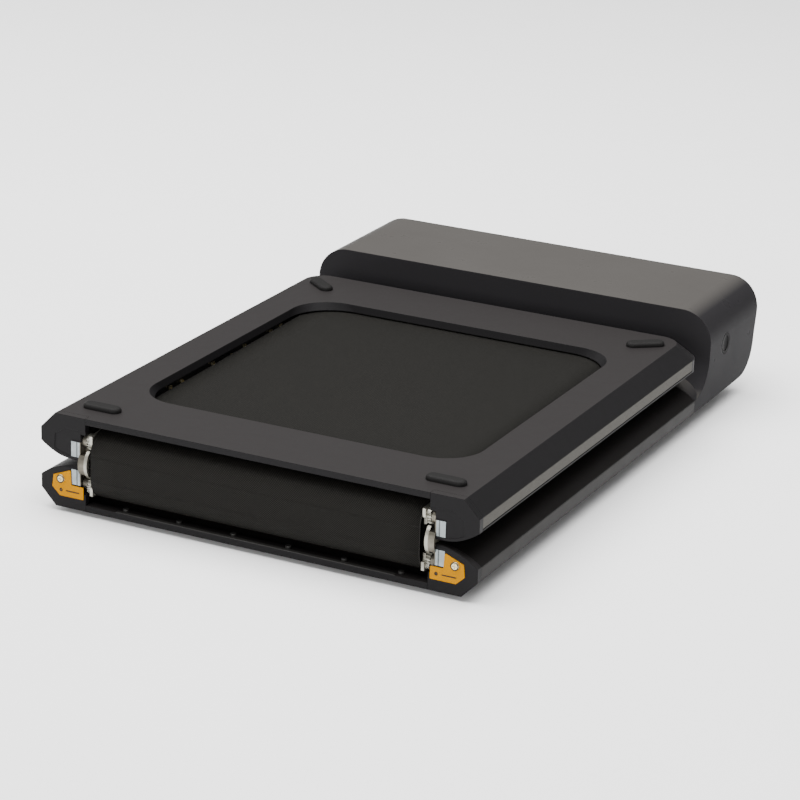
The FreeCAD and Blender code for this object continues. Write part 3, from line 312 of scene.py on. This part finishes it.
def belt_material(name):
    """Running belt: a staggered dot weave on dark rubbered fabric, in the belt's own length and width."""
    s = Shader(name)
    uv = s.node("ShaderNodeUVMap", uv_map="belt")
    split = s.node("ShaderNodeSeparateXYZ")
    s.join(uv.outputs["UV"], split.inputs["Vector"])
    turns = 2 * math.pi / WEAVE_PITCH
    across = s.math("SINE", s.math("MULTIPLY", split.outputs["X"], turns))
    along = s.math("SINE", s.math("MULTIPLY", split.outputs["Y"], turns))
    raised = s.span(s.math("MULTIPLY", across, along), 0.0, 1.0, -0.1, 0.75)
    vector = s.place()
    dust = s.noise(vector, 24.0, 4.0, 0.6)
    thread = s.noise(vector, 1500.0, 1.0)
    ground = s.mix(dust, (0.0006, 0.00055, 0.00045), (0.0012, 0.0011, 0.0009))
    s.surface(colour=s.mix(s.math("MULTIPLY", raised, 0.85), ground, (0.0300, 0.0285, 0.0250)),
              rough=s.span(thread, 0.56, 0.74, *MARK_RANGE), specular=0.06)
    s.bump(s.math("ADD", raised, s.math("MULTIPLY", thread, 0.25)), 0.22 * MM)
    return s.material


def belt_edge_material(name):
    """Cut edge of the belt, where the paler fabric plies show."""
    s = Shader(name)
    plies = s.noise(s.place(), 700.0, 3.0, 0.7)
    s.surface(colour=s.mix(plies, (0.010, 0.0095, 0.0085), (0.030, 0.028, 0.025)), rough=0.85)
    s.bump(plies, 0.1 * MM)
    return s.material


def deck_material(name):
    """Dark laminated board with a faint grain."""
    s = Shader(name)
    grain = s.noise(s.place((1, 12, 12)), 60.0, 5.0, 0.6)
    s.surface(colour=s.mix(grain, (0.022, 0.018, 0.015), (0.05, 0.042, 0.035)),
              rough=s.span(grain, 0.45, 0.7))
    s.bump(grain, 0.08 * MM, edge=0.5 * MM)
    return s.material


def circuit_material(name):
    """Green solder mask with copper tracks showing through."""
    s = Shader(name)
    brick = s.node("ShaderNodeTexBrick")
    s.join(s.place(), brick.inputs["Vector"])
    brick.inputs["Scale"].default_value = 90.0
    brick.inputs["Mortar Size"].default_value = 0.03
    brick.inputs["Color1"].default_value = (0.012, 0.09, 0.035, 1)
    brick.inputs["Color2"].default_value = (0.015, 0.11, 0.045, 1)
    brick.inputs["Mortar"].default_value = (0.04, 0.2, 0.08, 1)
    s.surface(colour=brick.outputs["Color"], rough=s.span(s.noise(s.place(), 200.0), 0.3, 0.5))
    s.bump(brick.outputs["Fac"], 0.05 * MM)
    return s.material


def floor_material(name):
    """Matt, nearly white paper."""
    s = Shader(name)
    grain = s.noise(s.place(), 3.0, 4.0)
    s.surface(colour=s.mix(grain, (0.90, 0.90, 0.90), (0.94, 0.94, 0.94)), rough=0.9)
    return s.material


# Each slot's material: its kind, and what is particular to it
SLOT_LOOKS = {
    "cover_plastic": (cover_plastic, {}),
    "rail_plastic": (moulded_plastic, dict(colour=(0.0070, 0.0062, 0.0060), rough=0.42, grain_scale=1400.0,
                                           edge=0.8 * MM, shine=0.04)),
    "dark_trim": (moulded_plastic, dict(colour=(0.017, 0.0155, 0.0145), rough=0.40, grain_scale=1200.0,
                                        shine=0.05)),
    "silver_trim": (brushed_metal, dict(colour=(0.052, 0.0485, 0.0415), rough=0.55, stretch=(14, 1, 14),
                                        edge=0.5 * MM, metal=0.25, tarnish=0.92, shine=0.12)),
    "housing_plastic": (housing_plastic, {}),
    "zinc_steel": (zinc_material, {}),
    "gear_steel": (brushed_metal, dict(colour=(0.05, 0.048, 0.045), rough=0.42, edge=0.3 * MM, metal=0.6)),
    "caution_yellow": (moulded_plastic, dict(colour=(0.38, 0.160, 0.0), rough=0.5, grain=0.02 * MM,
                                             edge=0.3 * MM, tint=0.03, shine=0.0)),
    "fastener_steel": (brushed_metal, dict(colour=(0.78, 0.69, 0.44), rough=0.28, stretch=(1, 1, 1),
                                           edge=0.3 * MM, metal=0.9)),
    "blackened_steel": (brushed_metal, dict(colour=(0.045, 0.044, 0.042), rough=0.42, stretch=(1, 1, 1),
                                            edge=0.3 * MM, metal=0.5)),
    "lip_grey": (moulded_plastic, dict(colour=(0.022, 0.021, 0.020), rough=0.4, shine=0.15)),
    "frame_paint": (moulded_plastic, dict(colour=(0.010, 0.010, 0.010), rough=0.5, grain=0.1 * MM,
                                          grain_scale=500.0, edge=0.8 * MM)),
    "deck_board": (deck_material, {}),
    "rubber_black": (moulded_plastic, dict(colour=(0.0070, 0.0066, 0.0064), rough=0.62, grain=0.09 * MM,
                                           grain_scale=700.0, edge=0.8 * MM, tint=0.1, shine=0.1)),
    "roller_steel": (brushed_metal, dict(colour=(0.52, 0.52, 0.52), rough=0.3, stretch=(14, 1, 1))),
    "bearing_steel": (brushed_metal, dict(colour=(0.66, 0.66, 0.66), rough=0.2, stretch=(1, 1, 1))),
    "motor_paint": (moulded_plastic, dict(colour=(0.020, 0.020, 0.022), rough=0.4, grain=0.05 * MM,
                                          grain_scale=600.0)),
    "pulley_alloy": (brushed_metal, dict(colour=(0.55, 0.55, 0.57), rough=0.3, stretch=(14, 1, 1))),
    "circuit_green": (circuit_material, {}),
    "sink_alloy": (brushed_metal, dict(colour=(0.6, 0.6, 0.62), rough=0.36, stretch=(14, 1, 1))),
    "button_black": (moulded_plastic, dict(colour=(0.0060, 0.0056, 0.0058), rough=0.28, grain=0.01 * MM,
                                           grain_scale=800.0, tint=0.1, shine=0.008)),
    "inlet_black": (moulded_plastic, dict(colour=(0.012, 0.012, 0.012), rough=0.45)),
    "switch_black": (moulded_plastic, dict(colour=(0.012, 0.012, 0.012), rough=0.25, grain=0.01 * MM,
                                           grain_scale=800.0)),
}
MATERIALS = {slot: make(slot, **looks) for slot, (make, looks) in SLOT_LOOKS.items()}
BELT = belt_material("belt_fabric")
BELT_EDGE = belt_edge_material("belt_edge")
PLATE_PRINT = moulded_plastic("plate_print", colour=(0.022, 0.018, 0.014), rough=0.55, grain=0.02 * MM,
                              edge=0.0, tint=0.2, shine=0.1)


def smooth_by_angle(node):
    """Shades curved faces smooth and keeps real edges sharp."""
    node.data.shade_smooth()
    node.data.set_sharp_from_angle(angle=SMOOTH_ANGLE)


def dress_frame():
    """Gives every carried-over CAD node its slot's material. The belt's own slot has none, being replaced."""
    for part in frame["record"]["subparts"]:
        material = MATERIALS.get(part["material_slot"])
        if material:
            node = frame["nodes"][part["node"]]
            for slot in node.material_slots:
                slot.material = material
            smooth_by_angle(node)


# Paths in the Y Z plane

def straight(a, b, step):
    """Points from a to b, b left out."""
    count = max(1, round((b - a).length / step))
    return [a.lerp(b, i / count) for i in range(count)]


def turn(centre, radius, start, end, steps):
    """Points of an arc in the Y Z plane, angles in degrees from +Y towards +Z.

    The last bit at each end is very short, so that its smooth shading meets the next piece's."""
    nudge = 0.02 * (end - start) / steps
    between = [start + (end - start) * i / steps for i in range(1, steps)]
    stops = [start, start + nudge] + between + [end - nudge, end]
    angles = [math.radians(stop) for stop in stops]
    return [centre + Vector((0, radius * math.cos(a), radius * math.sin(a))) for a in angles]


def curve_between(a, knee, b, steps):
    """A quadratic curve from a to b, pulled towards knee."""
    points = []
    for i in range(steps + 1):
        t = i / steps
        points.append(a * (1 - t) ** 2 + knee * 2 * t * (1 - t) + b * t ** 2)
    return points


# Belt strips

def strip_points(path, inward, end_thick):
    """A row of points across the belt for each point of the path: its outer surface, then its inner one."""
    points = []
    for index, point in enumerate(path):
        before, after = path[max(index - 1, 0)], path[min(index + 1, len(path) - 1)]
        heading = (after - before).normalized()
        normal = Vector((0, -heading.z, heading.y)) * inward
        thick = BELT_THICK + (end_thick - BELT_THICK) * index / (len(path) - 1)
        for depth in (0, thick):
            for column in range(BELT_COLUMNS):
                x = BELT_HALF * (2 * column / (BELT_COLUMNS - 1) - 1)
                points.append(Vector((x, point.y, point.z)) + normal * depth)
    return points


def strip_faces(rows):
    """The faces between that many rows of points, each with its kind."""
    last = BELT_COLUMNS - 1
    faces = []
    for row in range(rows - 1):
        a, b = row * ROW, (row + 1) * ROW
        for c in range(last):
            faces.append(((a + c, a + c + 1, b + c + 1, b + c), WOVEN))
            low, high = a + BELT_COLUMNS + c, b + BELT_COLUMNS + c
            faces.append(((low, high, high + 1, low + 1), WOVEN))
        faces.append(((a, b, b + BELT_COLUMNS, a + BELT_COLUMNS), CUT_EDGE))
        faces.append(((a + last, a + BELT_COLUMNS + last, b + BELT_COLUMNS + last, b + last), CUT_EDGE))
    for a in (0, (rows - 1) * ROW):
        for c in range(last):
            faces.append(((a + c, a + BELT_COLUMNS + c, a + BELT_COLUMNS + c + 1, a + c + 1), END))
    return faces


def strip(name, path, inward, start_length=0.0, end_thick=BELT_THICK):
    """A closed belt strip along a path of outer-surface points; inward is +1 or -1, its thickness's side.

    The thickness goes evenly from the belt's own to end_thick; the weave starts start_length along."""
    lengths = [start_length]
    for a, b in zip(path, path[1:]):
        lengths.append(lengths[-1] + (b - a).length)
    vertices = strip_points(path, inward, end_thick)
    faces = strip_faces(len(path))
    mesh = bpy.data.meshes.new(name)
    mesh.from_pydata(vertices, [], [corners for corners, kind in faces])
    measure = mesh.uv_layers.new(name="belt")
    for face, (corners, kind) in zip(mesh.polygons, faces):
        for loop, corner in zip(face.loop_indices, corners):
            measure.data[loop].uv = (vertices[corner].x, lengths[corner // ROW])
        face.material_index = int(kind == CUT_EDGE)
        face.use_smooth = kind == WOVEN
    mesh.materials.append(BELT)
    mesh.materials.append(BELT_EDGE)
    obj = bpy.data.objects.new(name, mesh)
    bpy.context.scene.collection.objects.link(obj)
    face_outwards(mesh)
    return obj


def face_outwards(mesh):
    """Points every face of a closed mesh outwards."""
    work = bmesh.new()
    work.from_mesh(mesh)
    bmesh.ops.recalc_face_normals(work, faces=work.faces)
    work.to_mesh(mesh)
    work.free()


def belt_run(name, body, node, roller_box, walk, wrap_edge_z, side):
    """A section's belt: from the deck's hinge end along the top, round the roller and back to the wrap.

    side is +1 for the front section and -1 for the rear one, which lies upside down."""
    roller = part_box(roller_box)
    centre = (roller[0] + roller[1]) / 2
    centre.x = 0
    outer = abs(walk - centre.z)
    start = Vector((0, DECK_START, walk))
    top = Vector((0, centre.y, walk))
    end = Vector((0, WRAP_HIGH.y, wrap_edge_z))
    slope = math.degrees(math.atan2(abs(wrap_edge_z - centre.z) - outer, centre.y - WRAP_HIGH.y))
    arc = turn(centre, outer, 90 * side, (-90 + slope) * side, ROLLER_STEPS)
    path = straight(start, top, RUN_STEP) + arc + straight(arc[-1], end, RUN_STEP)[1:] + [end]
    piece = strip(name, path, -side)
    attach(piece, body)
    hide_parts(node)


def hinge_wrap():
    """The belt round the outside of the hinge: a quarter turn, the flat back, and a quarter turn."""
    low_centre = Vector((0, WRAP_HIGH.y, WRAP_LOW.z + WRAP_RADIUS))
    high_centre = Vector((0, WRAP_HIGH.y, WRAP_HIGH.z - WRAP_RADIUS))
    lower = turn(low_centre, WRAP_RADIUS, 270, 180, WRAP_STEPS)
    upper = turn(high_centre, WRAP_RADIUS, 180, 90, WRAP_STEPS)
    middle = straight(lower[-1], upper[0], WRAP_STEP) + [upper[0]]
    quarter = WRAP_RADIUS * math.pi / 2
    low_piece = strip("belt_wrap_lower", lower, -1)
    mid_piece = strip("belt_wrap_middle", middle, -1, quarter)
    high_piece = strip("belt_wrap_upper", upper, -1, quarter + (upper[0] - lower[-1]).length)
    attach(mid_piece, "hinge_link")
    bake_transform(low_piece)
    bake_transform(high_piece)
    for piece in (low_piece, mid_piece, high_piece):
        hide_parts("belt_wrap")


def hinge_bridge():
    """The belt across the inside of the hinge: a strip on the link, and a bent one to each section's deck."""
    inner_y = BRIDGE_HIGH.y
    bottom, top = Vector((0, inner_y, BRIDGE_LOW.z)), Vector((0, inner_y, BRIDGE_HIGH.z))
    bridge = strip("belt_bridge_strip", straight(bottom, top, BRIDGE_STEP) + [top], 1)
    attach(bridge, "hinge_link")
    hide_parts("belt_bridge")
    for name, pivot, body, walk, side in (("belt_bridge_lower", bottom, "front_base", FRONT_WALK, 1),
                                          ("belt_bridge_upper", top, "rear_section", REAR_WALK, -1)):
        outer_end = Vector((0, DECK_START, walk))
        knee = Vector((0, inner_y, walk - side * KNEE_DROP))
        path = curve_between(outer_end, knee, pivot, KNEE_STEPS)
        piece = strip(name, path, side, end_thick=THIN_EDGE)
        if side > 0:
            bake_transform(piece)
        else:
            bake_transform(piece)
        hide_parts("belt_bridge")


def make_belt():
    """The whole belt: a run on each section, and the stretches round and across the hinge."""
    belt_run("front_belt_run", "front_base", "front_belt", "drive_bearings", FRONT_WALK, WRAP_LOW.z, 1)
    belt_run("rear_belt_run", "rear_section", "rear_belt", "rear_bearings", REAR_WALK, WRAP_HIGH.z, -1)
    hinge_wrap()
    hinge_bridge()


# Marks on the caution plates

def turned_ring(name, centre, inner, outer, height, segments=56):
    """A low ring with rounded shoulders, standing out along -Y; a tiny inner radius makes it a dot."""
    middle, reach = (inner + outer) / 2, (outer - inner) / 2
    profile = []
    for i in range(9):
        angle = math.pi * i / 8
        profile.append((middle - reach * math.cos(angle), height * math.sin(angle) ** 0.5))
    work = bmesh.new()
    rings = []
    for i in range(segments):
        a = 2 * math.pi * i / segments
        ring = [work.verts.new(centre + Vector((r * math.cos(a), -h, r * math.sin(a)))) for r, h in profile]
        rings.append(ring)
    for i, ring in enumerate(rings):
        after = rings[(i + 1) % segments]
        for k in range(len(profile)):
            last = (k + 1) % len(profile)
            work.faces.new((ring[k], ring[last], after[last], after[k]))
    finish_mark(name, work)


def rounded_bar(name, centre, length, height, thick):
    """A bar with round ends and softened edges, lying on the plate and standing out along -Y."""
    work = bmesh.new()
    outline = []
    for side, first_angle in ((1, -90), (-1, 90)):
        for i in range(13):
            a = math.radians(first_angle + 15 * i)
            end_middle = side * (length - height) / 2
            outline.append((end_middle + height / 2 * math.cos(a), height / 2 * math.sin(a)))
    base = [work.verts.new(centre + Vector((x, 0, z))) for x, z in outline]
    shoulder = [work.verts.new(centre + Vector((x, -thick * 0.6, z))) for x, z in outline]
    crown = [work.verts.new(centre + Vector((x * 0.97, -thick, z * 0.9))) for x, z in outline]
    for lower, upper in ((base, shoulder), (shoulder, crown)):
        for i in range(len(outline)):
            k = (i + 1) % len(outline)
            work.faces.new((lower[i], lower[k], upper[k], upper[i]))
    work.faces.new(crown)
    work.faces.new(list(reversed(base)))
    finish_mark(name, work)


def finish_mark(name, work):
    """Makes a piece of the printed colour from a closed shape, riding the front section."""
    bmesh.ops.remove_doubles(work, verts=work.verts, dist=1e-7)
    bmesh.ops.recalc_face_normals(work, faces=work.faces)
    mesh = bpy.data.meshes.new(name)
    work.to_mesh(mesh)
    work.free()
    mesh.materials.append(PLATE_PRINT)
    obj = bpy.data.objects.new(name, mesh)
    bpy.context.scene.collection.objects.link(obj)
    smooth_by_angle(obj)
    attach(obj, "front_base")


def make_plate_marks():
    """Plain dark print on the plates: a ring round the screw, a dot and a bar."""
    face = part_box("caution_plates")[0].y
    low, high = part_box("plate_screws")
    head = (high.z - low.z) / 2
    for side, word in ((1, "right"), (-1, "left")):
        screw = Vector((side * (high.x - head), face, (low.z + high.z) / 2))
        crown = Vector((screw.x, low.y, screw.z))
        inner, outer = head - RING_INNER_INSET, head - RING_OUTER_INSET
        turned_ring(f"plate_ring_{word}", crown, inner, outer, RING_HEIGHT)
        dot = Vector((DOT_X[word], face, screw.z - MARK_DROP))
        turned_ring(f"plate_dot_{word}", dot, DOT_HOLE, DOT_RADIUS, MARK_HEIGHT, DOT_SEGMENTS)
        bar = dot + Vector((DOT_TO_BAR, 0, 0))
        rounded_bar(f"plate_bar_{word}", bar, BAR_LENGTH, BAR_WIDTH, MARK_HEIGHT)


# Stage

def make_stage():
    """A wide pale floor under the machine."""
    bpy.ops.mesh.primitive_plane_add(size=FLOOR_SIZE, location=(0, 0, 0))
    floor = bpy.context.object
    floor.name = "floor"
    floor.data.materials.append(floor_material("floor_pale"))


def area_light(name, at, target, size, power):
    """A rectangular light of that size in metres, facing its target."""
    data = bpy.data.lights.new(name, "AREA")
    data.shape = "RECTANGLE"
    data.size, data.size_y = size
    data.energy = power
    light = bpy.data.objects.new(name, data)
    light.location = at
    light.rotation_euler = (Vector(target) - Vector(at)).to_track_quat("-Z", "Y").to_euler()
    bpy.context.scene.collection.objects.link(light)


def make_lights():
    """White surroundings, a wide light above, a weak one from the left and a long one in front."""
    world = bpy.data.worlds.new("studio")
    bpy.context.scene.world = world
    world.use_nodes = True
    background = world.node_tree.nodes["Background"]
    background.inputs["Color"].default_value = (1.0, 1.0, 1.0, 1)
    background.inputs["Strength"].default_value = 0.5
    area_light("overhead", at=(-0.3, 0.0, 3.5), target=(0, 0.1, 0), size=(4.0, 6.0), power=560)
    area_light("key_left", at=(-2.8, 0.9, 1.7), target=(0, 0, 0.05), size=(1.4, 1.4), power=10)
    area_light("front_fill", at=(0.2, -4.2, 0.9), target=(0, -0.4, 0.05), size=(3.4, 1.4), power=110)


make_camera()
make_belt()
make_plate_marks()
dress_frame()
make_stage()
make_lights()
